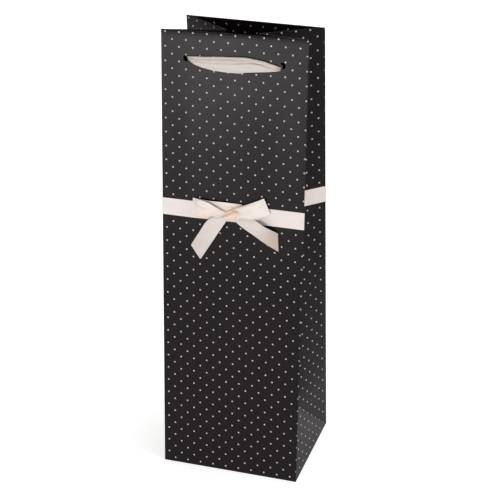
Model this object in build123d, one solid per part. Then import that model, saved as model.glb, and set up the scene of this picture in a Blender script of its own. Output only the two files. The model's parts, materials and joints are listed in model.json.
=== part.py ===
from build123d import *
from math import acos, cos, pi, radians, sin, sqrt
import os

# Wine gift bag in millimetres. The origin is the middle of the base on the table,
# X runs to the right across the front, Y to the back and Z up.
# The base stands open and square. The front and back lean in to a half-closed mouth,
# and each side gusset folds inward in a V above the triangle at its foot.

# Bag
width = 110.0  # front and back panels, side to side
depth = 95.0  # base, front to back: the flat width of each gusset
height = 350.0  # panels, along the paper
front_lean = 2.6  # degrees that the front panel leans back
back_lean = 5.0  # degrees that the back panel leans forward
paper = 0.4  # folded bag paper
crease = 0.6  # paper left out along each crease
fold_clearance = 1.8  # gusset halves and bottom lap to the panels' side folds
foot_rise = 1.3  # foot triangle's lower edge above the base, to clear the flaps as it leans in

# Turned-in hem and the card that it wraps
hem_height = 38.0
card_height = 32.0
card_thickness = 0.6
card_margin = 7.0  # card edge to panel side
gusset_hem_margin = 7.0  # gusset hem edge to the panel's side crease
hem_gap = 0.1  # gusset hem to its gusset

# Seam and bottom
seam_flap_width = 15.0
seam_flap_foot = 12.0  # flap's lower end above the base
seam_clearance = 3.0  # flap to the panel's side edge
bottom_overlap = 24.0  # lap of the two long bottom flaps
side_flap_reach = 38.0
board_thickness = 1.0
board_gap = 3.0  # loose board to the walls
layer_gap = 0.05  # glue or air between layers

# Ribbon
ribbon = 13.0  # ribbon width
ribbon_thickness = 0.3
waist_height = 216.7  # middle of the waist ribbon, along the panel
waist_lap = 16.0

# Handles
hole_spacing = 72.0
hole_drop = 20.0  # hole centre below the top edge
hole_diameter = 5.0
neck_diameter = 3.6  # ribbon gathered to pass a hole
handle_lift = 1.2  # middle of the handle ribbon off the panel
handle_sag = 0.5  # and below the line of the holes
handle_fullness = 4  # how late the ribbon narrows towards its holes
handle_spans = 12
knot_size = 6.0
knot_thickness = 4.0
knot_roundness = 1 / 3  # edge radius as a share of a knot's thickness

# Bow, glued over the waist ribbon. Its places are across from the middle and up from the ribbon's middle.
glue_diameter = 5.0
glue_thickness = 0.4
knot_wide = 6.5
knot_tall = 11.0
knot_deep = 5.0
knot_rise = 1.0  # knot's middle above the ribbon's middle
loop_pinch = 5.0  # loop's width at the knot
loop_open = 4.5  # how far a loop's front layer bulges off its back layer
loop_rise = 1.2  # loops off the waist ribbon at the knot
loop_fullness = 0.6  # how soon a loop widens from the knot
loop_spans = 16
loops = {"left": (-29.5, 5.0, 1.0), "right": (27.3, 10.8, -2.0)}  # far end's middle, and its slant
tail_pinch = 3.5
tail_shoulder = 8.0  # knot to where a tail has its full width
tails = {"left": (-28.7, -33.5, 1.8), "right": (35.7, -18.7, 3.1)}  # cut end's middle, and its slant

half_depth = depth / 2
half_width = width / 2
back_of_hem = paper + 2 * layer_gap + card_thickness
punch_length = 2 * (back_of_hem + paper + hole_diameter)


def along(start, end, share):
    return start + (end - start) * share


def panel_plane(side, lean):
    """A panel's outer face: x to its own right, y up the paper, z outward. side is -1 in front."""
    outward = Vector(0, side * cos(radians(lean)), sin(radians(lean)))
    return Plane(origin=(0, side * half_depth, 0), x_dir=(-side, 0, 0), z_dir=outward)


def slab(plane, across, up, out):
    """A flat piece lying on a plane, from its ranges across, up and outward."""
    size = [high - low for low, high in (across, up, out)]
    middle = [(low + high) / 2 for low, high in (across, up, out)]
    return plane * Pos(*middle) * Box(*size)


def outline(plane, points, out):
    """A flat piece with any outline on a plane, between two distances outward."""
    face = make_face(Polyline(*points, close=True))
    return plane * Pos(0, 0, out[0]) * extrude(face, out[1] - out[0])


def sheet(rows, near, far):
    """A closed solid sheet over a grid of points, between two distances along its normal."""
    last_row, last_column = len(rows) - 1, len(rows[0]) - 1

    def normal(i, j):
        up = rows[min(i + 1, last_row)][j] - rows[max(i - 1, 0)][j]
        across = rows[i][min(j + 1, last_column)] - rows[i][max(j - 1, 0)]
        return across.cross(up).normalized()

    spots = [(i, j) for i in range(last_row + 1) for j in range(last_column + 1)]
    skins = [{(i, j): rows[i][j] + normal(i, j) * out for i, j in spots} for out in (near, far)]
    rim = [(0, j) for j in range(last_column)] + [(i, last_column) for i in range(last_row)]
    rim += [(last_row, j) for j in range(last_column, 0, -1)] + [(i, 0) for i in range(last_row, 0, -1)]
    corners = []
    for i in range(last_row):
        for j in range(last_column):
            cell = [(i, j), (i, j + 1), (i + 1, j + 1), (i + 1, j)]
            for skin in skins:
                corners += [[skin[cell[k]] for k in (0, 1, 2)], [skin[cell[k]] for k in (0, 2, 3)]]
    for spot, after in zip(rim, rim[1:] + rim[:1]):
        low, high, high_after, low_after = skins[0][spot], skins[1][spot], skins[1][after], skins[0][after]
        corners += [[low, low_after, high_after], [low, high_after, high]]
    solid = Solid(Shell([Face(Wire.make_polygon(three)) for three in corners]))
    return solid if solid.volume > 0 else Solid(solid.wrapped.Reversed())


front = panel_plane(-1, front_lean)
back = panel_plane(1, back_lean)
parts = {}


# Front and back panels, each with its two punched handle holes. Hem and card share the holes.
def punched(plane, piece):
    for side in (-1, 1):
        hole = plane * Pos(side * hole_spacing / 2, height - hole_drop, 0)
        piece -= hole * Cylinder(hole_diameter / 2, punch_length)
    return piece


for name, plane in (("front", front), ("back", back)):
    full = (-half_width, half_width)
    parts[f"{name}_panel"] = punched(plane, slab(plane, full, (crease, height), (-paper, 0)))
    card = (card_margin - half_width, half_width - card_margin)
    card_up = (height - card_height, height - paper)
    card_out = (-paper - layer_gap - card_thickness, -paper - layer_gap)
    parts[f"{name}_top_card"] = punched(plane, slab(plane, card, card_up, card_out))
    hem_out = (-back_of_hem - paper, -back_of_hem)
    hem_up = (height - hem_height, height)
    parts[f"{name}_top_hem"] = punched(plane, slab(plane, card, hem_up, hem_out))


# The foot of each gusset: a triangle hinged on the base, whose tip leans into the bag.
mean_lean = radians((front_lean + back_lean) / 2)
foot_lean = acos(cos(mean_lean) / (1 + sin(mean_lean)))


def side_edge(side, end, up):
    """A point on a panel's side edge. side is -1 on the left, end is -1 in front."""
    lean = radians(front_lean if end < 0 else back_lean)
    return Vector(side * half_width, end * (half_depth - up * sin(lean)), up * cos(lean))


crease_drop = half_depth * (1 - cos(foot_lean))


def centre_crease(side, up):
    """A point on a gusset's centre crease, half a gusset's width from both panel edges."""
    near, far = side_edge(side, -1, up), side_edge(side, 1, up)
    reach = sqrt(half_depth**2 - ((far - near).length / 2) ** 2 - crease_drop**2)
    return (near + far) / 2 - Vector(side * reach, 0, crease_drop)


def gusset_point(side, end, across, up):
    """A point on half a gusset, from its flat distance to the side edge and height."""
    edge = side_edge(side, end, up)
    if up >= half_depth:
        return along(edge, centre_crease(side, up), across / half_depth)
    corner, tip = side_edge(side, end, 0), centre_crease(side, half_depth)
    return along(edge, along(corner, tip, up / half_depth), across / up)


def gusset_rows(side, end, ups, shares):
    """Rows of points up half a gusset, ordered so that their normal points outward."""
    rows = []
    for up in ups:
        stop = min(half_depth - crease, up - 2 * crease)
        row = [gusset_point(side, end, along(fold_clearance, stop, share), up) for share in shares]
        rows.append(row[::-1] if side == end else row)
    return rows


sides = {"left": -1, "right": 1}
ends = {"front": -1, "back": 1}
waist_spans = 4  # rows of facets between the foot triangle and the waist ribbon
hem_share = (gusset_hem_margin - fold_clearance) / (half_depth - crease - fold_clearance)
hem_shares = [hem_share, (1 + hem_share) / 2, 1]
waist_steps = [waist_height - ribbon / 2, waist_height + ribbon / 2]
hem_steps = [height - hem_height, height - hem_height / 2, height]
gusset_steps = [2 * fold_clearance, half_depth]
gusset_steps += [along(half_depth, waist_steps[0], k / waist_spans) for k in range(1, waist_spans)]
gusset_steps += waist_steps
gusset_steps += [(waist_steps[1] + hem_steps[0]) / 2] + hem_steps
ribbon_out = (layer_gap, layer_gap + ribbon_thickness)
for side_name, side in sides.items():
    tip = centre_crease(side, half_depth)
    slope = tip - Vector(side * half_width, tip.Y, 0)
    foot = Plane(
        origin=(side * half_width, 0, 0),
        x_dir=(0, side, 0),
        z_dir=Vector(0, side, 0).cross(slope).normalized(),
    )
    corner = half_depth - foot_rise - crease * sqrt(2)
    points = [(-corner, foot_rise), (corner, foot_rise), (side * tip.Y, slope.length - crease * sqrt(2))]
    parts[f"{side_name}_base_triangle"] = outline(foot, points, (-paper, 0))
    for end_name, end in ends.items():
        name = f"{side_name}_gusset_{end_name}"
        rows = gusset_rows(side, end, gusset_steps, [0] + hem_shares)
        parts[name] = sheet(rows, -paper, 0)
        rows = gusset_rows(side, end, hem_steps, hem_shares)
        parts[f"{name}_hem"] = sheet(rows, -2 * paper - hem_gap, -paper - hem_gap)
        rows = gusset_rows(side, end, waist_steps, [0] + hem_shares)
        parts[f"{name}_ribbon"] = sheet(rows, *ribbon_out)


# Glue flap inside the back panel, from the gusset where the bag's one sheet of paper ends
seam_edge = half_width - seam_clearance
seam_across = (seam_edge - seam_flap_width, seam_edge)
seam_up = (seam_flap_foot, height - hem_height - crease)
seam_out = (-2 * paper - layer_gap, -paper - layer_gap)
parts["side_seam_flap"] = slab(back, seam_across, seam_up, seam_out)

# Bottom: the front flap and the back flap, which laps it, then the two side flaps and the loose board
lap = bottom_overlap / 2
flap_edge = half_depth - crease
flap_across = (crease - half_width, half_width - crease)
lap_across = (fold_clearance - half_width, half_width - fold_clearance)
lap_floor = paper + layer_gap
parts["bottom_front_flap"] = slab(Plane.XY, flap_across, (-flap_edge, lap), (0, paper))
step = (lap + layer_gap, lap + layer_gap + paper)
parts["bottom_back_flap"] = (
    slab(Plane.XY, flap_across, (step[0], flap_edge), (0, paper))
    + slab(Plane.XY, lap_across, step, (0, lap_floor + paper))
    + slab(Plane.XY, lap_across, (-lap, step[1]), (lap_floor, lap_floor + paper))
)
side_floor = lap_floor + paper + layer_gap
for side_name, side in sides.items():
    outer = side * (half_width - 2 * crease - paper)
    inner = side * (half_width - side_flap_reach)
    wide, narrow = flap_edge - 2 * crease, flap_edge - 2 * crease - abs(outer - inner)
    points = [(outer, -wide), (inner, -narrow), (inner, narrow), (outer, wide)]
    parts[f"bottom_{side_name}_flap"] = outline(Plane.XY, points, (side_floor, side_floor + paper))
board_floor = side_floor + paper + layer_gap
board_across = (board_gap - half_width, half_width - board_gap)
board_along = (board_gap - half_depth, half_depth - board_gap)
board_out = (board_floor, board_floor + board_thickness)
parts["bottom_board"] = slab(Plane.XY, board_across, board_along, board_out)

# Handle ribbons: flat across the outside, gathered through a hole at each end and knotted behind
inside = -back_of_hem - paper
for name, plane in (("front", front), ("back", back)):
    line = plane * Pos(0, height - hole_drop, 0)
    rows = []
    for k in range(handle_spans + 1):
        share = 2 * k / handle_spans - 1
        spread = 1 - share**handle_fullness
        half = (neck_diameter + (ribbon - neck_diameter) * spread) / 2
        across, sag = share * hole_spacing / 2, handle_sag * (1 - share**2)
        out = layer_gap + handle_lift * (1 - share**2)
        rows.append([(line * Pos(across, up - sag, out)).position for up in (half, -half)])
    handle = sheet(rows, 0, ribbon_thickness)
    for side_name, side in sides.items():
        hole = line * Pos(side * hole_spacing / 2, 0, 0)
        neck_bottom = inside - layer_gap
        neck_length = ribbon_out[1] - neck_bottom
        handle += hole * Pos(0, 0, neck_bottom + neck_length / 2) * Cylinder(neck_diameter / 2, neck_length)
        knot = Box(knot_size, knot_size, knot_thickness)
        knot = fillet(knot.edges(), knot_thickness * knot_roundness)
        own_side = side_name if name == "front" else {"left": "right", "right": "left"}[side_name]
        parts[f"{name}_{own_side}_handle_knot"] = hole * Pos(0, 0, neck_bottom - knot_thickness / 2) * knot
    parts[f"{name}_handle_ribbon"] = handle

# Waist ribbon, which is wrapped round the bag and laps at the middle of the back
waist_up = (waist_height - ribbon / 2, waist_height + ribbon / 2)
waist_across = (crease - half_width, half_width - crease)
parts["waist_ribbon_front"] = slab(front, waist_across, waist_up, ribbon_out)
parts["waist_ribbon_back"] = slab(back, waist_across, waist_up, ribbon_out)
lap_out = (ribbon_out[1] + layer_gap, ribbon_out[1] + layer_gap + ribbon_thickness)
parts["waist_ribbon_lap"] = slab(back, (-waist_lap / 2, waist_lap / 2), waist_up, lap_out)

# Bow
bow = front * Pos(0, waist_height + knot_rise, ribbon_out[1])
parts["bow_glue_dot"] = bow * Pos(0, 0, glue_thickness / 2) * Cylinder(glue_diameter / 2, glue_thickness)
knot = fillet(Box(knot_wide, knot_tall, knot_deep).edges(), knot_deep * knot_roundness)
parts["bow_knot"] = bow * Pos(0, 0, glue_thickness + knot_deep / 2) * knot


def bow_point(across, up, out):
    return (bow * Pos(across, up, out)).position


for side_name, side in sides.items():
    far_across, far_up, slant = loops[side_name]
    start = side * (knot_wide / 2 + layer_gap)
    rows = []
    for k in range(loop_spans + 1):
        turn = k / loop_spans
        share = sin(pi * turn)
        half = (loop_pinch + (ribbon - loop_pinch) * share**loop_fullness) / 2
        across = start + (far_across - start) * share
        out = loop_rise + turn * knot_deep / 2 + loop_open * turn * share**2
        rows.append(
            [
                bow_point(across + end * slant * share, far_up * share + end * half, out)
                for end in (-side, side)
            ]
        )
    parts[f"bow_{side_name}_loop"] = sheet(rows, 0, ribbon_thickness)
    far_across, far_up, slant = tails[side_name]
    root = Vector(side * loop_pinch / 2, -knot_tall / 2)
    far = Vector(far_across, far_up)
    along_tail = (far - root).normalized()
    across_tail = Vector(along_tail.Y, -along_tail.X) * side
    shoulder = root + along_tail * tail_shoulder
    points = [
        root + across_tail * tail_pinch / 2,
        shoulder + across_tail * ribbon / 2,
        far + across_tail * ribbon / 2 + along_tail * slant,
        far - across_tail * ribbon / 2 - along_tail * slant,
        shoulder - across_tail * ribbon / 2,
        root - across_tail * tail_pinch / 2,
    ]
    points = [(point.X, point.Y) for point in points]
    parts[f"bow_{side_name}_tail"] = outline(bow, points, ribbon_out)

os.makedirs("parts", exist_ok=True)
for name, shape in parts.items():
    export_step(shape, f"parts/{name}.step")
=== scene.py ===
import json
from math import cos, pi, radians, sin, sqrt

import bpy
from mathutils import Matrix, Vector, noise


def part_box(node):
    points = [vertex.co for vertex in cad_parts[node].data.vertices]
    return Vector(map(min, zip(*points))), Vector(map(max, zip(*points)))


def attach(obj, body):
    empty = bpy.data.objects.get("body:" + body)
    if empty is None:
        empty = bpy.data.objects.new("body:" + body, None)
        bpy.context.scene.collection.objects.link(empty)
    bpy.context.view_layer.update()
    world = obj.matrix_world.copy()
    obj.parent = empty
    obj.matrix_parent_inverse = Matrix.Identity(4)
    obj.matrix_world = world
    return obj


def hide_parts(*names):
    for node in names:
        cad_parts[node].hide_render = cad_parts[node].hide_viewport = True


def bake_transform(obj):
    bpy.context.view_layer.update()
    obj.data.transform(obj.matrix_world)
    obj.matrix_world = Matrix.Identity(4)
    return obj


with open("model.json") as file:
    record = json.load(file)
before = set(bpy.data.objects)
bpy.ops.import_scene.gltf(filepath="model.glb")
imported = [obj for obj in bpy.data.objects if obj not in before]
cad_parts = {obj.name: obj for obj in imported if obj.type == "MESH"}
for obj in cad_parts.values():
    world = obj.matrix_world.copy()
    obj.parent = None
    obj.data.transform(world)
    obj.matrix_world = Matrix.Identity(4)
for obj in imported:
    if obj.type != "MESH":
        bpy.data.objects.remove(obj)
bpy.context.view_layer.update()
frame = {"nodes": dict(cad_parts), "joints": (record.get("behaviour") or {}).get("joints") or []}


# ---- Camera ----
# A studio still life on a short telephoto lens, from a little above and to the right of the bag.
camera = bpy.data.objects.new("camera", bpy.data.cameras.new("camera"))
bpy.context.scene.collection.objects.link(camera)
bpy.context.scene.camera = camera
camera.data.lens = 94.87
camera.data.sensor_width = 36.0
camera.data.clip_start = 0.05
camera_place = Vector((0.28387, -0.89019, 0.56524))
look = Vector((-0.28069, 0.87883, -0.38583)).normalized()
right = Vector((0.95263, 0.30414, -0.00027)).normalized()
up = right.cross(look)
camera.matrix_world = Matrix((right, up, -look)).transposed().to_4x4()
camera.matrix_world.translation = camera_place


# ---- Studio: a seamless pale table and soft boxes ----
# A white-painted board runs up into the backdrop. Two large soft boxes and a smaller, low one in
# front leave almost no shadow.
def linear(hex_colour):
    """An sRGB hex colour as linear RGBA."""
    shares = [int(hex_colour[k : k + 2], 16) / 255 for k in (0, 2, 4)]
    return [(s / 12.92 if s <= 0.04045 else ((s + 0.055) / 1.055) ** 2.4) for s in shares] + [1.0]


def node(tree, kind, sockets=None, **settings):
    """Adds a shader node. sockets maps an input's name or number to a value or another output."""
    made = tree.nodes.new(kind)
    for name, value in settings.items():
        setattr(made, name, value)
    for name, value in (sockets or {}).items():
        if isinstance(value, bpy.types.NodeSocket):
            tree.links.new(value, made.inputs[name])
        else:
            made.inputs[name].default_value = value
    return made


def new_material(name):
    """A material's node tree with only its output, and the material."""
    material = bpy.data.materials.new(name)
    material.use_nodes = True
    material.node_tree.nodes.clear()
    return material, material.node_tree


def finish_material(tree, shader):
    node(tree, "ShaderNodeOutputMaterial", {"Surface": shader.outputs["BSDF"]})


painted_board, tree = new_material("painted_board")
finish_material(
    tree,
    node(
        tree,
        "ShaderNodeBsdfPrincipled",
        {
            "Base Color": linear("F4F4F3"),
            "Roughness": 0.85,
            "Emission Color": linear("FFFFFF"),
            "Emission Strength": 0.5,
        },
    ),
)
bpy.context.scene.view_settings.view_transform = "Standard"
table_reach, sweep_start, sweep, backdrop_height = 2.4, 0.9, 0.5, 1.6  # metres
bends = [k * pi / 16 for k in range(1, 9)]
profile = [(-table_reach, 0.0), (sweep_start, 0.0)]
profile += [(sweep_start + sweep * sin(bend), sweep - sweep * cos(bend)) for bend in bends]
profile += [(sweep_start + sweep, backdrop_height)]
table_mesh = bpy.data.meshes.new("table")
table_mesh.from_pydata(
    [(side * table_reach, y, z) for y, z in profile for side in (-1, 1)],
    [],
    [(2 * k, 2 * k + 1, 2 * k + 3, 2 * k + 2) for k in range(len(profile) - 1)],
)
table_mesh.shade_smooth()
table = bpy.data.objects.new("table", table_mesh)
table_mesh.materials.append(painted_board)
bpy.context.scene.collection.objects.link(table)

world = bpy.data.worlds.new("studio")
bpy.context.scene.world = world
world.use_nodes = True
world.node_tree.nodes["Background"].inputs["Color"].default_value = linear("FFFFFF")
world.node_tree.nodes["Background"].inputs["Strength"].default_value = 0.3

lit_place = Vector((0, 0, 0.2))


def soft_box(name, place, size, watts):
    """A square soft box that points at the middle of the bag."""
    lamp = bpy.data.lights.new(name, "AREA")
    lamp.energy, lamp.size = watts, size
    lamp_object = bpy.data.objects.new(name, lamp)
    bpy.context.scene.collection.objects.link(lamp_object)
    lamp_object.location = place
    aim = lit_place - Vector(place)
    lamp_object.rotation_euler = aim.to_track_quat("-Z", "Y").to_euler()


soft_box("front_soft_box", (-0.48, -1.5, 0.14), 0.26, 7)
soft_box("right_soft_box", (1.4, -0.25, 0.8), 0.7, 9)
soft_box("top_soft_box", (0.1, -0.1, 1.9), 1.2, 9)


# ---- Printed paper ----
# Coated art paper of about 200 g, printed solid charcoal black with a fine pale dot in a
# quincunx. Its satin varnish takes a wide, dull highlight, and the ink is rubbed along the folds.
# The unprinted side is rough black paper.
MM = 0.001
dot_pitch = 10.61  # mm, from a dot to the next in its own row
dot_radius = 0.62  # mm
dot_start = (3.0, 1.5)  # mm from the front's left edge and from the top
print_skew = radians(0.16)  # the print is a hair off square to the folds
dot_blur = 0.09  # mm of ink spread at a dot's edge
fibre_size = 0.9 * MM  # real paper fibres are about 0.5 mm long, drawn coarse enough to show


def dot_mask(tree, place):
    """1 on the printed dots, from a place on the flat sheet in mm."""
    place = node(
        tree, "ShaderNodeVectorRotate", {"Vector": place, "Angle": print_skew}, rotation_type="Z_AXIS"
    ).outputs[0]
    distances = []
    for shift in (0.5, 1.0):
        offset = [shift - start / dot_pitch for start in dot_start] + [0.0]
        scaled = node(
            tree, "ShaderNodeVectorMath", {0: place, "Scale": 1 / dot_pitch}, operation="SCALE"
        )
        moved = node(tree, "ShaderNodeVectorMath", {0: scaled.outputs[0], 1: offset}, operation="ADD")
        cell = node(tree, "ShaderNodeVectorMath", {0: moved.outputs[0]}, operation="FRACTION")
        centred = node(
            tree,
            "ShaderNodeVectorMath",
            {0: cell.outputs[0], 1: (0.5, 0.5, 0.0)},
            operation="SUBTRACT",
        )
        flat = node(
            tree,
            "ShaderNodeVectorMath",
            {0: centred.outputs[0], 1: (1.0, 1.0, 0.0)},
            operation="MULTIPLY",
        )
        distance = node(tree, "ShaderNodeVectorMath", {0: flat.outputs[0]}, operation="LENGTH")
        distances.append(distance.outputs["Value"])
    nearest = node(tree, "ShaderNodeMath", {0: distances[0], 1: distances[1]}, operation="MINIMUM")
    soft = dot_blur / dot_pitch
    return node(
        tree,
        "ShaderNodeMapRange",
        {
            "Value": nearest.outputs[0],
            "From Min": dot_radius / dot_pitch - soft,
            "From Max": dot_radius / dot_pitch + soft,
            "To Min": 1.0,
            "To Max": 0.0,
        },
        interpolation_type="SMOOTHSTEP",
    ).outputs["Result"]


def varnished_paper(name, flat_from_uv, printed=True):
    """Black art paper. Its print is laid out by the flat sheet's places, or by the base's plan."""
    material, tree = new_material(name)
    body = node(tree, "ShaderNodeTexCoord").outputs["Object"]
    if flat_from_uv:
        place = node(tree, "ShaderNodeUVMap", uv_map="flat").outputs["UV"]
    else:
        plan = node(tree, "ShaderNodeVectorMath", {0: body, "Scale": 1 / MM}, operation="SCALE")
        place = plan.outputs[0]
    mottle = node(tree, "ShaderNodeTexNoise", {"Vector": body, "Scale": 60.0, "Detail": 3.0})
    ink = node(
        tree,
        "ShaderNodeMix",
        {"Factor": mottle.outputs["Fac"], "A": linear("181213"), "B": linear("1C1618")},
        data_type="RGBA",
    )
    colour = ink.outputs["Result"]
    if printed:
        colour = node(
            tree,
            "ShaderNodeMix",
            {"Factor": dot_mask(tree, place), "A": colour, "B": linear("C8BEBC")},
            data_type="RGBA",
        ).outputs["Result"]
    if flat_from_uv:
        # On paper this attribute holds only the ink's worn places at the folds.
        wear_and_shade = node(tree, "ShaderNodeAttribute", attribute_name="wear_and_painted_shade").outputs["Fac"]
        rub = node(tree, "ShaderNodeTexNoise", {"Vector": body, "Scale": 420.0, "Detail": 2.0})
        worn = node(tree, "ShaderNodeMath", {0: wear_and_shade, 1: rub.outputs["Fac"]}, operation="MULTIPLY")
        colour = node(
            tree,
            "ShaderNodeMix",
            {"Factor": worn.outputs[0], "A": colour, "B": linear("221C1D")},
            data_type="RGBA",
        ).outputs["Result"]
    fibre = node(tree, "ShaderNodeTexNoise", {"Vector": body, "Scale": 1 / fibre_size, "Detail": 4.0})
    low, high = (0.28, 0.34) if printed else (0.72, 0.82)
    rough = node(
        tree, "ShaderNodeMapRange", {"Value": mottle.outputs["Fac"], "To Min": low, "To Max": high}
    )
    bump = node(
        tree,
        "ShaderNodeBump",
        {"Height": fibre.outputs["Fac"], "Strength": 0.12, "Distance": 0.05 * MM},
    )
    shader = node(
        tree,
        "ShaderNodeBsdfPrincipled",
        {
            "Base Color": colour,
            "Roughness": rough.outputs["Result"],
            "Normal": bump.outputs["Normal"],
            "Specular IOR Level": 0.09,
        },
    )
    finish_material(tree, shader)
    return material


printed_paper = varnished_paper("printed_art_paper", flat_from_uv=True)
printed_base_paper = varnished_paper("printed_art_paper_base", flat_from_uv=False)
paper_back = varnished_paper("uncoated_black_paper_back", flat_from_uv=False, printed=False)


# ---- The bag's folded sheet: where its paper lies ----
# One sheet is wrapped round into front, right gusset, back and left gusset. Its front and back
# lean in to the mouth, and each gusset is folded inward along its middle.
def joint_of(name):
    return next(j for j in frame["joints"] if j["name"] == name)


front_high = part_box("front_panel")[1]
sides, ends = {"left": -1, "right": 1}, {"front": -1, "back": 1}
half_width = front_high.x
half_depth = -joint_of("front_panel_fold")["pos_m"][1]
climbs = {
    -1: -Vector(joint_of("left_gusset_front_fold")["axis"]),
    1: Vector(joint_of("left_gusset_back_fold")["axis"]),
}
height = front_high.z / climbs[-1].z
width, depth = 2 * half_width, 2 * half_depth
paper_thickness = 0.35 * MM
hem_height = 38 * MM
card_stack = 1.5 * MM  # printed face to turned-in face, round the card
bare_stack = 0.9 * MM  # the same where no card lies between
mouth_twist = 4.65 * MM  # the mouth is a little askew: the back's left corner stands further back
mean_lean = (climbs[-1].y - climbs[1].y) / 2
triangle_rise = sqrt(1 - mean_lean**2) / (1 + mean_lean)  # cosine of the foot triangle's lean
crease_drop = half_depth * (1 - triangle_rise)


def smooth(value):
    """Eases from 0 to 1 as the value does, and holds outside that."""
    value = min(max(value, 0.0), 1.0)
    return value * value * (3 - 2 * value)


def askew(across, end, up):
    """How far the back panel is twisted off its plane, along Y. The front isn't."""
    return -mouth_twist * across / half_width * up / height if end > 0 else 0.0


def side_edge(side, end, up):
    """A panel's side edge at a height up the paper. side is -1 on the left, end is -1 in front."""
    foot = Vector((side * half_width, end * half_depth + askew(side * half_width, end, up), 0))
    return foot + climbs[end] * up


def centre_crease(side, up):
    """The fold down a gusset's middle."""
    near, far = side_edge(side, -1, up), side_edge(side, 1, up)
    reach = sqrt(half_depth**2 - ((far - near).length / 2) ** 2 - crease_drop**2)
    return (near + far) / 2 - Vector((side * reach, 0, crease_drop))


buckle = 0.9 * MM
calm_fold, calm_side, calm_mouth, calm_end = 12 * MM, 25 * MM, 50 * MM, 60 * MM


def flex(across, up, seed):
    """Slight buckling of the paper between its folds, in metres. It dies out near the folds."""
    return noise.noise(Vector((across * 14, up * 9, seed))) * buckle


def facing(end):
    """The direction straight out of the front or back panel."""
    return Vector((0, end * climbs[end].z, abs(climbs[end].y)))


def from_fold(place, end):
    """A place measured from the middle of a panel's bottom fold."""
    return place - Vector((0, end * half_depth, 0))


def box_middle(name):
    low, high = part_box(name)
    return (low + high) / 2


def panel_point(end, across, up, out):
    """A point on or off the front or back panel. across is X, out is away from the bag."""
    calm = smooth((half_width - abs(across)) / calm_side) * smooth((height - up) / calm_end)
    calm *= smooth(up / calm_end)
    middle = Vector((0, end * half_depth + askew(across, end, up), 0)) + climbs[end] * up
    return middle + Vector((across, 0, 0)) + facing(end) * (out + calm * flex(across, up, end * 5))


def gusset_sheet_point(side, end, across, up):
    """A point on half a gusset before its paper buckles."""
    edge = side_edge(side, end, up)
    if up >= half_depth:
        return edge.lerp(centre_crease(side, up), across / half_depth)
    corner, tip = side_edge(side, end, 0), centre_crease(side, half_depth)
    return edge.lerp(corner.lerp(tip, up / half_depth), across / up)


def gusset_point(side, end, across, up, out):
    """A point on or off half a gusset. across is the flat distance from its panel's edge."""
    step = 0.5 * MM
    here = gusset_sheet_point(side, end, across, up)
    beside = gusset_sheet_point(side, end, across + step, up) - here
    above = gusset_sheet_point(side, end, across, up + step) - here
    outward = beside.cross(above).normalized() * (1 if side != end else -1)
    limit = min(up, half_depth)
    calm = smooth(across / calm_fold) * smooth((limit - across) / calm_fold)
    calm *= smooth((height - up) / calm_mouth) * smooth((up - half_depth) / calm_end)
    return here + outward * (out + calm * flex(across, up, side * 3 + end * 7))


def apply_modifiers(piece):
    """Makes a piece's modifiers part of its mesh."""
    depsgraph = bpy.context.evaluated_depsgraph_get()
    made = bpy.data.meshes.new_from_object(
        piece.evaluated_get(depsgraph), preserve_all_data_layers=True, depsgraph=depsgraph
    )
    piece.modifiers.clear()
    piece.data = made


def sheet_mesh(name, rows, flat, thickness, materials, wear_and_shade=None, sharp=35, levels=0, outward=False):
    """A thin closed piece over a grid of points. flat holds its places on the flat sheet in mm."""
    columns = len(rows[0])
    mesh = bpy.data.meshes.new(name)
    faces = [
        (i * columns + j, i * columns + j + 1, (i + 1) * columns + j + 1, (i + 1) * columns + j)
        for i in range(len(rows) - 1)
        for j in range(columns - 1)
    ]
    mesh.from_pydata([point for row in rows for point in row], [], faces)
    places = [place for row in flat for place in row]
    layer = mesh.uv_layers.new(name="flat")
    for loop in mesh.loops:
        layer.data[loop.index].uv = places[loop.vertex_index]
    # Per point: how worn the paper's ink is, and on satin how far painted shade is laid on.
    wear_and_painted_shade = mesh.attributes.new("wear_and_painted_shade", "FLOAT", "POINT")
    wear_and_painted_shade.data.foreach_set("value", [w for row in wear_and_shade for w in row] if wear_and_shade else [0.0] * len(places))
    for material in materials:
        mesh.materials.append(material)
    piece = bpy.data.objects.new(name, mesh)
    bpy.context.scene.collection.objects.link(piece)
    solid = piece.modifiers.new("thickness", "SOLIDIFY")
    solid.thickness = thickness
    solid.offset = 1.0 if outward else -1.0
    solid.material_offset = solid.material_offset_rim = len(materials) - 1
    solid.use_even_offset = not levels
    if levels:
        smoothing = piece.modifiers.new("smoothing", "SUBSURF")
        smoothing.levels = smoothing.render_levels = levels
    apply_modifiers(piece)
    piece.data.shade_smooth()
    piece.data.set_sharp_from_angle(angle=radians(sharp))
    return piece


def steps(start, stop, count):
    return [start + (stop - start) * k / count for k in range(count + 1)]


def turned_path(start, stack, count):
    """Up the outside, over the top edge and down inside as the hem: (height, outward, paper length)."""
    radius = stack / 2
    path = [(up, 0.0, up) for up in steps(start, height - radius, count)]
    path += [
        (height - radius + radius * sin(a), radius * (cos(a) - 1), height - radius + radius * a)
        for a in steps(0, pi, 8)[1:]
    ]
    length = path[-1][2]
    path += [
        (height - radius - fall, -stack, length + fall) for fall in steps(0, hem_height - radius, 8)[1:]
    ]
    return path


fold_line = 0.5 * MM


def fold_wear(side_distance, length):
    """How worn the ink is at a place, from its distances to a side fold and to the top fold."""
    nearest = min(side_distance, abs(length - height))
    return max(0.0, 1 - nearest / fold_line)


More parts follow.
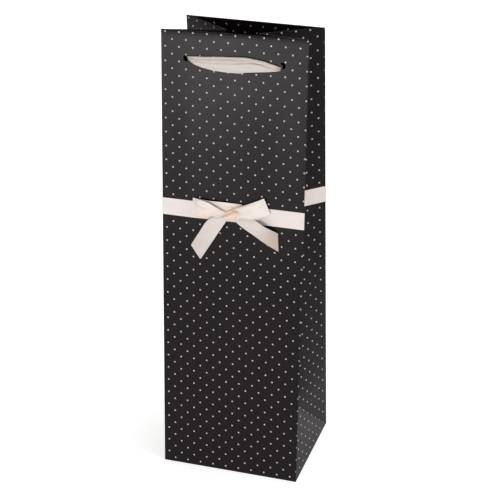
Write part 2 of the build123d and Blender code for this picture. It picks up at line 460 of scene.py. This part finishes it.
# ---- Front and back panels ----
# Each runs from the base's fold up to the mouth, turns over a card strip and is glued down inside
# as a hem. Two 5 mm holes are punched through paper, card and hem for the handle ribbon.
hole_radius = 2.5 * MM
punch_depth = 12 * MM
bottom_radius = 0.5 * MM
hem_squeeze = 6 * MM  # the hem's sides are trimmed so that it clears the gussets
hem_pinch = 0.65  # how much flatter the hem is pressed at its sides
bottom_turn = [
    (bottom_radius * (1 - sin(a)), -bottom_radius * (1 - cos(a)), 0.0) for a in steps(pi / 2, pi / 8, 3)
]


def columns_near_edges(low, high, count, edge):
    """Even columns with one more close to each edge, for the fold lines."""
    return [low, low + edge] + steps(low, high, count)[1:-1] + [high - edge, high]


def punch_handle_holes(piece, name, end):
    """Cuts both handle holes through a panel and its hem, or through a card."""
    for knot_side in sides:
        middle = box_middle(f"{name}_{knot_side}_handle_knot")
        hole_up = from_fold(middle, end).dot(climbs[end])
        centre = panel_point(end, middle.x, hole_up, 0)
        bpy.ops.mesh.primitive_cylinder_add(
            vertices=40, radius=hole_radius, depth=punch_depth, location=centre
        )
        punch = bpy.context.object
        punch.rotation_euler = facing(end).to_track_quat("Z", "Y").to_euler()
        cut = piece.modifiers.new("punched", "BOOLEAN")
        cut.object, cut.operation, cut.solver = punch, "DIFFERENCE", "EXACT"
        bpy.context.view_layer.update()
        apply_modifiers(piece)
        bpy.data.objects.remove(punch)
    piece.data.set_sharp_from_angle(angle=radians(35))


for name, end in ends.items():
    path = bottom_turn + turned_path(bottom_radius, card_stack, 72)
    columns = columns_near_edges(-half_width, half_width, 26, fold_line)
    rows, flat, wear_and_shade = [], [], []
    for up_sheet, out, length in path:
        turned = smooth((length - height) / hem_squeeze)
        row, places, worn = [], [], []
        for across in columns:
            edge_share = smooth((half_width - abs(across)) / hem_squeeze)
            shown = across * (1 - turned * hem_squeeze / half_width)
            depth_out = out * (1 - hem_pinch * turned * (1 - edge_share))
            row.append(panel_point(end, -end * shown, up_sheet, depth_out))
            start = 0.0 if end < 0 else width + depth
            places.append(((start + half_width + across) / MM, (height - length) / MM))
            worn.append(fold_wear(half_width - abs(across), length))
        rows.append(row)
        flat.append(places)
        wear_and_shade.append(worn)
    panel = sheet_mesh(f"{name}_sheet", rows, flat, paper_thickness, [printed_paper, paper_back], wear_and_shade)
    punch_handle_holes(panel, name, end)
    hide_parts(f"{name}_panel", f"{name}_top_hem")
    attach(panel, f"{name}_panel")


# ---- Side gussets ----
# Two halves each, joined at the middle fold. On the bag each bends between its panel and its own
# fold as the mouth opens and closes, most at the top and hardly at all at its foot. Here each
# half keeps its rest shape and is attached to no body.
edge_clearance = 0.45 * MM
hem_trim, hem_crease_trim = 4.5 * MM, 1.0 * MM  # the hem's margins to the panel and to the middle fold
crease_lap = 1.2 * MM  # each half runs on behind the other, so that the fold stays shut as it moves
lap_start = 10 * MM  # the lap grows over this height above the foot triangle
gusset_foot = [up * MM for up in (1.5, 6, 14, 24, 36)]


def flat_across(side, end, across):
    """The printed sheet's X in mm, which runs on round the bag from the front's left edge."""
    if side < 0:
        return -across / MM if end < 0 else (across - depth) / MM
    return (width + across) / MM if end < 0 else (width + depth - across) / MM


def bend_gusset(piece):
    """Bakes a piece of half a gusset's placement into its mesh; it is attached to no body."""
    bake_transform(piece)


def gusset_grid(side, end, path, columns_at):
    """Points, flat places and wear over half a gusset, in an order that makes it face outward."""
    rows, flat, wear_and_shade = [], [], []
    for up_sheet, out, length in path:
        columns = columns_at(up_sheet, length)
        points = [gusset_point(side, end, across, up_sheet, out) for across in columns]
        places = [(flat_across(side, end, across), (height - length) / MM) for across in columns]
        reach = min(up_sheet, half_depth)
        worn = [fold_wear(min(across, max(reach - across, 0.0)), length) for across in columns]
        if side == end:
            points, places, worn = points[::-1], places[::-1], worn[::-1]
        rows.append(points)
        flat.append(places)
        wear_and_shade.append(worn)
    return rows, flat, wear_and_shade


def gusset_columns(up_sheet, length):
    """Columns across half a gusset; the turned-in hem is trimmed clear of both folds."""
    turned = smooth((length - height) / hem_squeeze)
    low = edge_clearance + turned * hem_trim
    lap = crease_lap * smooth((up_sheet - half_depth) / lap_start)
    high = min(up_sheet, half_depth) + lap * (1 - turned) - turned * hem_crease_trim
    low = min(low, high * 0.6)
    return columns_near_edges(low, high, 14, min(fold_line, (high - low) / 20))


for side_name, side in sides.items():
    for end_name, end in ends.items():
        name = f"{side_name}_gusset_{end_name}"
        path = [(up, 0.0, up) for up in gusset_foot]
        path += turned_path(half_depth, bare_stack, 64)
        rows, flat, wear_and_shade = gusset_grid(side, end, path, gusset_columns)
        half = sheet_mesh(
            f"{name}_sheet", rows, flat, paper_thickness, [printed_paper, paper_back], wear_and_shade
        )
        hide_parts(name, f"{name}_hem")
        bend_gusset(half)


# ---- Foot triangles ----
# The bottom of each gusset folds into a triangle hinged on the base, whose tip leans inward.
up_triangle = [0.008] + steps(0.05, 0.95, 12) + [0.998]  # shares of the way from the base to its tip
across_triangle = [0.004, 0.02] + steps(0.08, 0.92, 10) + [0.98, 0.996]
for side_name, side in sides.items():
    corners = {end: side_edge(side, end, 0) for end in (-1, 1)}
    tip = centre_crease(side, half_depth)
    rows, flat, wear_and_shade = [], [], []
    for share in up_triangle:
        left_end, right_end = -side, side
        low = corners[left_end].lerp(tip, share)
        high = corners[right_end].lerp(tip, share)
        rows.append([low.lerp(high, a) for a in across_triangle])
        flat_low = Vector((flat_across(side, left_end, 0), height / MM))
        flat_high = Vector((flat_across(side, right_end, 0), height / MM))
        flat_tip = (flat_low + flat_high) / 2 - Vector((0, half_depth / MM))
        start, stop = flat_low.lerp(flat_tip, share), flat_high.lerp(flat_tip, share)
        flat.append([tuple(start.lerp(stop, a)) for a in across_triangle])
        wear_and_shade.append([1.0] + [0.0] * (len(across_triangle) - 2) + [1.0])
    foot = sheet_mesh(
        f"{side_name}_foot_triangle", rows, flat, paper_thickness, [printed_paper, paper_back], wear_and_shade
    )
    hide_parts(f"{side_name}_base_triangle")
    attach(foot, f"{side_name}_base_triangle")


# ---- Satin ribbon ----
# Half-inch polyester satin, woven: long floats along its length give the soft shine, and the
# two selvedges are a little denser. It is blush white, painted in faint streaks of sheen, and
# painted warmer and darker as shade where folds bunch it.
ribbon_width = 13 * MM
ribbon_thickness = 0.25 * MM
thread = 0.45  # mm; real warp threads are about 0.1 mm, drawn coarse enough to show
pick = thread * 1.6  # mm between weft threads
selvedge_start, selvedge_full = 0.8, 0.4  # mm in from the ribbon's edge


def satin(name, light, shade, painted_gather_shade):
    """Satin painted in streaks of sheen between the light and shade colours. Its third colour is
    painted shade, laid on where the ribbon bunches into folds.
    """
    material, tree = new_material(name)
    place = node(tree, "ShaderNodeUVMap", uv_map="flat").outputs["UV"]
    split = node(tree, "ShaderNodeSeparateXYZ", {0: place})
    body = node(tree, "ShaderNodeTexCoord").outputs["Object"]
    stretched = node(
        tree, "ShaderNodeVectorMath", {0: place, 1: (2.2, 0.12, 1.0)}, operation="MULTIPLY"
    ).outputs[0]
    floats = node(tree, "ShaderNodeTexNoise", {"Vector": stretched, "Scale": 1.0, "Detail": 3.0})
    cloud = node(tree, "ShaderNodeTexNoise", {"Vector": body, "Scale": 90.0, "Detail": 2.0})
    streak = node(
        tree,
        "ShaderNodeMath",
        {0: floats.outputs["Fac"], 1: cloud.outputs["Fac"]},
        operation="MULTIPLY",
    )
    painted_sheen = node(
        tree,
        "ShaderNodeMix",
        {"Factor": streak.outputs[0], "A": linear(light), "B": linear(shade)},
        data_type="RGBA",
    )
    colour = node(
        tree,
        "ShaderNodeMix",
        {
            "Factor": node(tree, "ShaderNodeAttribute", attribute_name="wear_and_painted_shade").outputs["Fac"],
            "A": painted_sheen.outputs["Result"],
            "B": linear(painted_gather_shade),
        },
        data_type="RGBA",
    )
    warp, weft = (
        node(
            tree,
            "ShaderNodeMath",
            {0: split.outputs[axis], 1: 2 * pi / spacing},
            operation="MULTIPLY",
        )
        for axis, spacing in (("X", thread), ("Y", pick))
    )
    warp_wave, weft_wave = (
        node(tree, "ShaderNodeMath", {0: turns.outputs[0]}, operation="SINE") for turns in (warp, weft)
    )
    weave = node(
        tree,
        "ShaderNodeMath",
        {0: weft_wave.outputs[0], 1: 0.4, 2: warp_wave.outputs[0]},
        operation="MULTIPLY_ADD",
    )
    half = ribbon_width / MM / 2
    middle = node(tree, "ShaderNodeMath", {0: split.outputs["X"], 1: half}, operation="SUBTRACT")
    off_middle = node(tree, "ShaderNodeMath", {0: middle.outputs[0]}, operation="ABSOLUTE")
    selvedge = node(
        tree,
        "ShaderNodeMapRange",
        {
            "Value": off_middle.outputs[0],
            "From Min": half - selvedge_start,
            "From Max": half - selvedge_full,
            "To Max": 3.0,
        },
    )
    height_map = node(
        tree, "ShaderNodeMath", {0: weave.outputs[0], 1: selvedge.outputs["Result"]}, operation="ADD"
    )
    bump = node(
        tree,
        "ShaderNodeBump",
        {"Height": height_map.outputs[0], "Strength": 0.2, "Distance": 0.03 * MM},
    )
    rough = node(
        tree, "ShaderNodeMapRange", {"Value": floats.outputs["Fac"], "To Min": 0.3, "To Max": 0.46}
    )
    shader = node(
        tree,
        "ShaderNodeBsdfPrincipled",
        {
            "Base Color": colour.outputs["Result"],
            "Roughness": rough.outputs["Result"],
            "Normal": bump.outputs["Normal"],
            "Specular IOR Level": 0.5,
            "Sheen Weight": 0.2,
            "Sheen Roughness": 0.35,
            "Anisotropic": 0.4,
        },
    )
    finish_material(tree, shader)
    return material


# The third colour of each satin is its painted shade for folded, bunched places.
blush_satin = satin("woven_blush_satin", "E6DAD6", "D5C6C0", "E8CABA")
handle_satin = satin("woven_pearl_satin", "D0C5BF", "B9ABA3", "A08B7B")
cream_satin = satin("woven_cream_satin", "EADFD9", "D6C7BE", "E3C4AF")
# A darker copy of the bow's cream satin, for its tails.
darker_tail_satin = satin("woven_cream_satin_darker", "D9CEC9", "C5B8B2", "B49F92")  # on the bow's tails


# ---- Waist ribbon ----
# One length of satin is wrapped round the bag, follows both gussets into their folds, and its
# ends lap and are glued at the middle of the back.
waist_up = from_fold(box_middle("waist_ribbon_front"), -1).dot(climbs[-1])
ribbon_out = 0.3 * MM
corner_reach = 0.25 * MM
fold_overrun = 0.5 * MM  # past the gusset's middle fold, so that it stays joined as it moves
lap_reach, lap_out = 8 * MM, 2 * ribbon_out + 0.1 * MM
across_ribbon = steps(-ribbon_width / 2, ribbon_width / 2, 8)


def ribbon_flat(off_middle, along):
    return ((off_middle + ribbon_width / 2) / MM, along / MM)


def ripple(along, off_middle, seed):
    """The slack of a ribbon that lies on paper."""
    return abs(noise.noise(Vector((along * 60, off_middle * 40, seed)))) * 0.25 * MM


for name, end, reach, lift, seed in (
    ("front", -1, half_width + corner_reach, ribbon_out, 2.7),
    ("back", 1, half_width + corner_reach, ribbon_out, 2.7),
    ("lap", 1, lap_reach, lap_out, 6.3),
):
    rows, flat = [], []
    for off in across_ribbon:
        columns = steps(-reach, reach, 60)
        rows.append(
            [
                panel_point(end, -end * across, waist_up + off, lift + ripple(across, off, seed))
                for across in columns
            ]
        )
        flat.append([ribbon_flat(off, across) for across in columns])
    band = sheet_mesh(f"waist_ribbon_{name}_band", rows, flat, ribbon_thickness, [blush_satin])
    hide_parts(f"waist_ribbon_{name}")
    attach(band, "front_panel" if end < 0 else "back_panel")

for side_name, side in sides.items():
    for end_name, end in ends.items():
        name = f"{side_name}_gusset_{end_name}"
        rows, flat = [], []
        for off in across_ribbon:
            columns = steps(-corner_reach, half_depth + fold_overrun, 36)
            points = [
                gusset_point(
                    side, end, across, waist_up + off, ribbon_out + ripple(across, off, side + 3 * end)
                )
                for across in columns
            ]
            places = [ribbon_flat(off, across) for across in columns]
            rows.append(points[::-1] if side == end else points)
            flat.append(places[::-1] if side == end else places)
        band = sheet_mesh(f"{name}_band", rows, flat, ribbon_thickness, [blush_satin])
        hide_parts(f"{name}_ribbon")
        bend_gusset(band)


# ---- Handle ribbons ----
# A short length of pearl satin crosses each panel from hole to hole. It lies flat in the middle
# with its top edge turned over, and is gathered to pass the holes and knotted behind.
# Its upper and lower outlines are in mm across and up from the line through both holes.
handle_top = [(-35, 1.7), (-25, 2.4), (-6, 3.6), (9, 4.3), (21, 2.9), (31, 0.4), (35.5, -1.4)]
handle_foot = [(-35, -0.2), (-28.7, -4.0), (-22.6, -5.7), (-13.5, -7.2), (-2, -7.7)]
handle_foot += [(5.3, -7.5), (10.5, -6.4), (23.8, -5.1), (33, -4.0), (35.5, -3.2)]
hole_entry = [(0.9, -3.0), (0.9, -1.4), (1.1, 0.0), (1.9, 0.7)]  # mm in from the hole, and outward
turned_share = 0.87  # of the ribbon's width below the line where it is turned over
turned_strip = 1.5 * MM
handle_out = 0.9 * MM  # the flat part's distance off the paper
entry_reach, gather_reach = 3 * MM, 9 * MM  # from a hole to the flat part, and to the last pleat
knot_in, knot_down, knot_back = 4.2 * MM, 2.0 * MM, 0.4 * MM  # from the hole and its plain knot
knot_size = Vector((3.0, 3.0, 1.6)) * MM
knot_end_length = 15 * MM
wound_round, wound_along = 13, 9  # mm of ribbon laid round and along a knot


def line_height(points, across):
    """The height of an outline at a place across, in metres, from points in mm."""
    spans = [span for span in zip(points, points[1:]) if across / MM <= span[1][0]] or [points[-2:]]
    (x0, y0), (x1, y1) = spans[0]
    share = min(max((across / MM - x0) / (x1 - x0), 0.0), 1.0)
    return (y0 + (y1 - y0) * (share + smooth(share)) / 2) * MM


def handle_ribbon(name, end, hole_up, hole_across):
    stations = [(-hole_across + x * MM, out * MM) for x, out in hole_entry]
    flat_part = steps(-hole_across + entry_reach, hole_across - entry_reach, 50)
    stations += [(across, handle_out) for across in flat_part]
    stations += [(hole_across - x * MM, out * MM) for x, out in hole_entry[::-1]]
    shares = steps(0, turned_share, 18) + steps(turned_share, 1, 8)[1:]
    rows, flat, painted_shade = ([[] for _ in shares] for _ in range(3))
    for across, out in stations:
        top, foot = line_height(handle_top, across), line_height(handle_foot, across)
        gather_and_shade = 1 - smooth((hole_across - abs(across)) / gather_reach)
        loose = 1 - gather_and_shade
        lift = 0.5 * MM * (1 - (across / hole_across) ** 2)
        strip = turned_strip * (1 + 0.6 * smooth((across / MM - 8) / 14)) * (1 - 0.7 * gather_and_shade)
        for k, share in enumerate(shares):
            over = max(0.0, share - turned_share) / (1 - turned_share)
            rise = foot + (top - foot) * min(share / turned_share, 1) - strip * over
            turn = 1.2 * MM * sin(pi * min(over, 0.5)) * (1 - 0.3 * over) * (1 - 0.6 * gather_and_shade)
            pleat = gather_and_shade * 0.4 * MM * sin(share * 5 * pi) * smooth((out + 1 * MM) / (2 * MM))
            belly = 0.5 * MM * sin(min(share / turned_share, 1) * pi) * loose
            off_crease = abs(share - 0.55 - 0.004 * across / MM)
            crease = -0.35 * MM * smooth(1 - off_crease * 14) * loose
            slack = noise.noise(Vector((across * 70, share * 2.2, 4 * end)))
            sway = abs(slack) * 0.8 * MM * loose
            outward = out + lift + turn + pleat + belly + crease + sway
            rows[k].append(panel_point(end, -end * across, hole_up + rise, outward))
            flat[k].append(ribbon_flat((share - 0.5) * ribbon_width, across))
            # Painted shade: darker in the pleats by the holes, and a painted shadow just below the
            # turned-over strip.
            strip_shadow = 0.0 if over else smooth(1 - (top - rise - strip) / (2.4 * MM))
            painted_shade[k].append(max(0.8 * gather_and_shade**3, 0.5 * strip_shadow))
    return sheet_mesh(
        name, rows, flat, ribbon_thickness, [handle_satin], painted_shade, sharp=80, levels=1
    )


def knot_mesh(name, place, size, seed, material, gather_and_shade=0.0):
    """A lump of wound, pleated ribbon. place turns its own X, up and out into a point."""
    rows, flat = [], []
    for lean in steps(0.03 * pi, 0.97 * pi, 30):
        row, places = [], []
        for spin in steps(0, 2 * pi, 44):
            groove = 1 + 0.11 * sin(3 * spin + 5 * lean + seed) + 0.05 * sin(8 * spin - 4 * lean)
            local = Vector((sin(lean) * cos(spin), -cos(lean), sin(lean) * sin(spin))) * groove
            row.append(place(local.x * size.x, local.y * size.y, local.z * size.z))
            places.append((wound_round * spin / (2 * pi), wound_along * lean / pi))
        rows.append(row[::-1])
        flat.append(places[::-1])
    # How far the lump is painted towards the satin's shade colour, as painted shade.
    wear_and_shade = [[gather_and_shade] * len(row) for row in rows]
    return sheet_mesh(name, rows, flat, 0.3 * MM, [material], wear_and_shade, sharp=80)


for name, end in ends.items():
    for knot_side, side in sides.items():
        node_name = f"{name}_{knot_side}_handle_knot"
        middle = box_middle(node_name)
        risen = from_fold(middle, end)
        hole_up, knot_out = risen.dot(climbs[end]), risen.dot(facing(end))
        hole_across = abs(middle.x)
        knot_across, knot_up = side * (hole_across - knot_in), hole_up - knot_down

        def knot_place(across, up, out):
            return panel_point(end, knot_across + across, knot_up + up, knot_out - knot_back + out)

        # The handle's knot lump is painted half way to the satin's shade colour, as painted shade in
        # the hole.
        lump = knot_mesh(f"{node_name}_lump", knot_place, knot_size, side + end, handle_satin, 0.5)
        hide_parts(node_name)
        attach(lump, f"{name}_panel")
        rows, flat = [], []
        for share in steps(0, 1, 14):
            half_spread = (1.6 + 4.4 * smooth(share * 1.6)) * MM
            row, places = [], []
            for off in steps(-1, 1, 14):
                pleat = 0.7 * MM * cos(off * 5 * pi / 2) * (1 - 0.6 * share)
                slant = 1.8 * MM * off * smooth(share * 3 - 2)
                drop = -(2 + 13 * share) * MM + slant
                hang = -(0.3 + 1.6 * sin(share * pi / 2)) * MM + pleat
                lean = -side * 3 * share * MM
                row.append(knot_place(lean - off * half_spread * end, drop, hang))
                places.append(ribbon_flat(off * ribbon_width / 2, share * knot_end_length))
            rows.append(row[::-1])
            flat.append(places[::-1])
        tail = sheet_mesh(
            f"{node_name}_end", rows, flat, ribbon_thickness, [handle_satin], sharp=80, levels=1
        )
        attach(tail, f"{name}_panel")
    handle = handle_ribbon(f"{name}_handle", end, hole_up, hole_across)
    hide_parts(f"{name}_handle_ribbon")
    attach(handle, f"{name}_panel")


# ---- Bow ----
# Tied flat from cream satin and glued over the waist ribbon. Each loop is a length folded back
# over itself, both tails are cut on the slant, and all of it is gathered into a small tight knot.
def bow_place(across, up, out):
    """A point on the bow, in mm from the middle of the waist ribbon."""
    return panel_point(-1, across * MM, waist_up + up * MM, out * MM)


def trace(points, share):
    """A point on a smooth line through a few points, by its share of the way along them."""
    spans = len(points) - 1
    k = min(int(share * spans), spans - 1)
    t = share * spans - k
    before = points[k - 1] if k else points[0] * 2 - points[1]
    after = points[k + 2] if k + 2 <= spans else points[-1] * 2 - points[-2]
    start, stop = points[k], points[k + 1]
    return (
        start * 2
        + (stop - before) * t
        + (before * 2 - start * 5 + stop * 4 - after) * t * t
        + (start * 3 - before - stop * 3 + after) * t * t * t
    ) / 2


def line(*points):
    """Points on the bow, in mm across and up."""
    return [Vector((*point, 0)) for point in points]


bow_loops = {
    "left": {
        "back_foot": line((5.0, -2.5), (-6, -3.6), (-18, -3.6), (-29.9, -2.2)),
        "back_top": line((8.0, 8.0), (-5, 8.7), (-17, 8.7), (-29.6, 9.5)),
        "front_foot": line((-1.5, -3.4), (-9, -6.2), (-19, -5.6), (-30.1, -2.4)),
        "front_top": line((-1.0, 1.4), (-7.5, 3.2), (-18.0, 8.1), (-30.0, 9.7)),
    },
    "right": {
        "back_foot": line((1.0, -2.5), (10, -1.9), (20, -0.1), (29.7, 3.8)),
        "back_top": line((-0.5, 7.2), (8, 7.5), (16.5, 10.9), (25.1, 14.4)),
        "front_foot": line((1.0, -3.4), (9, -4.4), (18.6, -3.0), (29.0, 3.0)),
        "front_top": line((1.0, 4.8), (8.5, 7.5), (16.5, 11.1), (24.6, 14.7)),
    },
}
loop_layers = {"back": (0.9, 1.5), "front": (2.4, 2.2)}  # mm off the bag at the knot, and its bulge
loop_fold_out = 1.9  # mm off the bag where both layers meet
bow_out = 0.75  # mm off the bag at least, so that the bow lies on the waist ribbon
loop_length, tail_length = 62 * MM, 45 * MM  # of weave drawn on them
for side_name, side in sides.items():
    edges = bow_loops[side_name]
    shares = steps(0, 1, 20)
    rows, flat, painted_shade = ([[] for _ in shares] for _ in range(3))
    for turn in steps(0, 1, 64):
        layer = "back" if turn < 0.5 else "front"
        reach = sin(pi * turn)
        foot, top = trace(edges[f"{layer}_foot"], reach), trace(edges[f"{layer}_top"], reach)
        root, bulge = loop_layers[layer]
        closing = smooth((reach - 0.86) / 0.14)
        out = (root + bulge * sin(pi * reach * 0.9)) * (1 - closing) + loop_fold_out * closing
        near = 1 - smooth(reach * 1.5)
        for k, share in enumerate(shares):
            point = foot.lerp(top, share)
            pleat = near * (0.6 * sin(share * 5 * pi + 0.8) + 0.25 * sin(share * 11 * pi + side))
            belly = 0.9 * sin(pi * share) * (1 - near) * (1 if layer == "front" else -0.3)
            dent = -0.7 * smooth(1 - abs(share - 0.45 - 0.3 * reach) * 5) * sin(pi * reach)
            dent -= 2.4 * (1 - share) ** 2 * sin(pi * reach)
            sway = noise.noise(Vector((reach * 3, share * 2.4, side * 3 + turn))) * 0.7
            shape = pleat + dent + sway if layer == "front" else 0.3 * pleat
            rows[k].append(bow_place(point.x, point.y, max(out + belly + shape, bow_out)))
            flat[k].append(ribbon_flat((share - 0.5) * ribbon_width, side * turn * loop_length))
            # Painted shade: near the knot, and over the lower half of the left loop's front layer.
            loop_shade = 0.0
            if side < 0 and layer == "front":
                loop_shade = 0.55 * smooth(1.3 - 2 * share) * sin(pi * reach)
            painted_shade[k].append(max(near**2 * (0.85 if layer == "front" else 0.6), loop_shade))
    if side < 0:
        rows, flat, painted_shade = ([row[::-1] for row in grid] for grid in (rows, flat, painted_shade))
    loop = sheet_mesh(
        f"bow_{side_name}_loop_ribbon",
        rows,
        flat,
        ribbon_thickness,
        [cream_satin],
        painted_shade,
        sharp=80,
        levels=1,
        outward=True,
    )
    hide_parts(f"bow_{side_name}_loop")
    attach(loop, "front_panel")

# Both tails arch off the bag, nearer the knot where arch is low. Their ends curl up on both sides
# of a line at the share curl of their width. The last entry says how far each end is painted
# towards the satin's shade colour, as painted shade.
bow_tails = {
    "left": {
        "inner": line((0.5, -0.5), (-3.0, -5.2), (-13.6, -22.0), (-24.2, -38.9)),
        "outer": line((-4.5, 0.5), (-16.8, -5.2), (-24.8, -16.8), (-32.0, -28.3)),
        "arch": 0.7,
        "curl": 0.7,
        "end_shade": 0.2,
    },
    "right": {
        "inner": line((-0.5, -1.0), (4.4, -6.0), (20.5, -15.6), (36.7, -25.8)),
        "outer": line((3.0, 2.0), (15.0, -0.4), (26.0, -6.0), (36.1, -11.2)),
        "arch": 1.5,
        "curl": 0.25,
        "end_shade": 0.95,
    },
}
for side_name, side in sides.items():
    tail_of = bow_tails[side_name]
    rows, flat, painted_shade = [], [], []
    for along in steps(0, 1, 44):
        inner, outer = trace(tail_of["inner"], along), trace(tail_of["outer"], along)
        near = 1 - smooth(along * 2.6)
        row, places, gather_and_shade = [], [], []
        for share in steps(0, 1, 16):
            point = inner.lerp(outer, share)
            pleat = near * 0.4 * sin(share * 5 * pi)
            arch = 3.6 * sin(pi * along ** tail_of["arch"]) + 0.5 * sin(pi * share)
            curl = along**3 * abs(share - tail_of["curl"])
            dimple = -0.5 * smooth(1 - abs(along - 0.62 - 0.25 * share) * 6)
            row.append(bow_place(point.x, point.y, bow_out + pleat + arch + curl + dimple))
            places.append(ribbon_flat((share - 0.5) * ribbon_width, along * tail_length))
            # Painted shade: a little near the knot, and over the outer half, deepest at the cut end.
            gather_and_shade.append(0.3 * near**2 + tail_of["end_shade"] * smooth(along * 2 - 1))
        rows.append(row if side > 0 else row[::-1])
        flat.append(places if side > 0 else places[::-1])
        painted_shade.append(gather_and_shade)
    tail = sheet_mesh(
        f"bow_{side_name}_tail_ribbon",
        rows[::-1],
        flat[::-1],
        ribbon_thickness,
        [darker_tail_satin],
        painted_shade[::-1],
        sharp=80,
        levels=1,
    )
    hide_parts(f"bow_{side_name}_tail")
    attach(tail, "front_panel")


# The bow's centre: a tight little knot, its satin wound askew and gathered into soft ridges.
centre_size = Vector((4.5, 4.3, 2.5)) * MM
centre_across, centre_up, centre_out = -0.4, -0.9, 2.7  # mm from the middle of the waist ribbon
centre_slant = 0.35


def centre_place(across, up, out):
    slanted = across + centre_slant * up
    return bow_place(centre_across + slanted / MM, centre_up + up / MM, centre_out + out / MM)


# The knot is painted most of the way to the cream satin's shade colour, as painted shade in its folds.
centre = knot_mesh("bow_centre", centre_place, centre_size, 0.8, cream_satin, gather_and_shade=0.8)
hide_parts("bow_knot")
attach(centre, "front_panel")


# ---- Cards, board, bottom flaps and glue ----
# Grey recycled board stiffens the mouth inside both hems, and a loose board lies in the bottom.
# The bottom flaps and the side seam's flap are the bag's own paper, glued down. A dot of hot-melt
# glue holds the bow.
def grey_board():
    material, tree = new_material("pressed_grey_board")
    body = node(tree, "ShaderNodeTexCoord").outputs["Object"]
    pulp = node(
        tree,
        "ShaderNodeTexNoise",
        {"Vector": body, "Scale": 260.0, "Detail": 6.0, "Roughness": 0.7},
    )
    colour = node(
        tree,
        "ShaderNodeMix",
        {"Factor": pulp.outputs["Fac"], "A": linear("A8A196"), "B": linear("8B857B")},
        data_type="RGBA",
    )
    flecks = node(tree, "ShaderNodeTexVoronoi", {"Vector": body, "Scale": 700.0})
    fleck = node(
        tree,
        "ShaderNodeMapRange",
        {"Value": flecks.outputs["Distance"], "From Max": 0.12, "To Min": 0.5, "To Max": 0.0},
    )
    speckled = node(
        tree,
        "ShaderNodeMix",
        {"Factor": fleck.outputs["Result"], "A": colour.outputs["Result"], "B": linear("5E5850")},
        data_type="RGBA",
    )
    bump = node(
        tree,
        "ShaderNodeBump",
        {"Height": pulp.outputs["Fac"], "Strength": 0.3, "Distance": 0.1 * MM},
    )
    shader = node(
        tree,
        "ShaderNodeBsdfPrincipled",
        {
            "Base Color": speckled.outputs["Result"],
            "Roughness": 0.9,
            "Normal": bump.outputs["Normal"],
        },
    )
    finish_material(tree, shader)
    return material


def hot_glue():
    material, tree = new_material("hot_melt_glue")
    body = node(tree, "ShaderNodeTexCoord").outputs["Object"]
    haze = node(tree, "ShaderNodeTexNoise", {"Vector": body, "Scale": 400.0})
    rough = node(
        tree, "ShaderNodeMapRange", {"Value": haze.outputs["Fac"], "To Min": 0.2, "To Max": 0.45}
    )
    shader = node(
        tree,
        "ShaderNodeBsdfPrincipled",
        {
            "Base Color": linear("E8E2CF"),
            "Roughness": rough.outputs["Result"],
            "Subsurface Weight": 0.3,
        },
    )
    finish_material(tree, shader)
    return material


strip_out = -0.45 * MM  # behind the panel's printed face
card_up = (height - 32 * MM, height - 0.9 * MM)
card_thickness, seam_thickness = 0.55 * MM, 0.3 * MM
board, glue = grey_board(), hot_glue()
carried = {"bottom_board": board, "bow_glue_dot": glue}
carried |= {f"bottom_{name}_flap": printed_base_paper for name in (*ends, *sides)}


def panel_strip(name, end, across, up, thickness, material):
    """A flat strip on a panel's inside, from its ranges across and up, replacing its plain node."""
    columns, levels = steps(*across, 24), steps(*up, 40)
    rows = [[panel_point(end, -end * x, y, strip_out) for x in columns] for y in levels]
    flat = [[(x / MM, y / MM) for x in columns] for y in levels]
    strip = sheet_mesh(f"{name}_strip", rows, flat, thickness, [material])
    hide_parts(name)
    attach(strip, "front_panel" if end < 0 else "back_panel")
    return strip


card_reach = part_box("front_top_card")[1].x
for name, end in ends.items():
    card_across = (-card_reach, card_reach)
    card = panel_strip(f"{name}_top_card", end, card_across, card_up, card_thickness, board)
    punch_handle_holes(card, name, end)
seam_low, seam_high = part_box("side_seam_flap")
seam_across = (-seam_high.x, -seam_low.x)
seam_up = (seam_low.z / climbs[1].z, seam_high.z / climbs[1].z)
seam = panel_strip("side_seam_flap", 1, seam_across, seam_up, seam_thickness, paper_back)
for name, material in carried.items():
    mesh = frame["nodes"][name].data
    mesh.materials.clear()
    mesh.materials.append(material)
